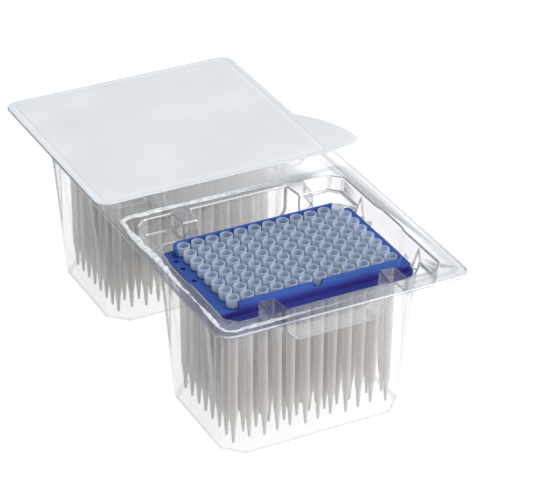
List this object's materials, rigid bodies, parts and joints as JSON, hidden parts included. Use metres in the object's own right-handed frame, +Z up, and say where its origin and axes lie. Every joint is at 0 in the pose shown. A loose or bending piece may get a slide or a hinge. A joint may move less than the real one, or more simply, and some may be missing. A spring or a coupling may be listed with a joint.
{
  "type": "twin blister pack of pipette tips",
  "caption": "Clear twin blister pack of long pipette tips in blue racks: one well opened, showing its tips and torn seal, the other closed by a white lid with a pull tab.",
  "frame": {"origin": "middle of the open well's underside, on the surface that the pack stands on", "axes": "+X along the columns, from the coding holes; +Y from the open well to the sealed well; +Z up"},
  "size_m": [0.1758, 0.3084, 0.1042],
  "materials": {
    "clear_sheet": "glossy clear thermoformed plastic sheet",
    "lid_foil": "matt coated lidding sheet",
    "seal_haze": "frosted white, torn at the edges",
    "rack_blue": "satin translucent blue",
    "tip_plastic": "natural translucent plastic"
  },
  "bodies": {
    "root": {"blister_sheet": "clear_sheet", "sealed_lid": "lid_foil", "seal_residue": "seal_haze", "rack_open": "rack_blue", "rack_sealed": "rack_blue", "tips_open_column_01": "tip_plastic", "tips_open_column_02": "tip_plastic", "tips_open_column_03": "tip_plastic", "tips_open_column_04": "tip_plastic", "tips_open_column_05": "tip_plastic", "tips_open_column_06": "tip_plastic", "tips_open_column_07": "tip_plastic", "tips_open_column_08": "tip_plastic", "tips_open_column_09": "tip_plastic", "tips_open_column_10": "tip_plastic", "tips_open_column_11": "tip_plastic", "tips_open_column_12": "tip_plastic", "tips_sealed_column_01": "tip_plastic", "tips_sealed_column_02": "tip_plastic", "tips_sealed_column_03": "tip_plastic", "tips_sealed_column_04": "tip_plastic", "tips_sealed_column_05": "tip_plastic", "tips_sealed_column_06": "tip_plastic", "tips_sealed_column_07": "tip_plastic", "tips_sealed_column_08": "tip_plastic", "tips_sealed_column_09": "tip_plastic", "tips_sealed_column_10": "tip_plastic", "tips_sealed_column_11": "tip_plastic", "tips_sealed_column_12": "tip_plastic"}
  },
  "joints": []
}
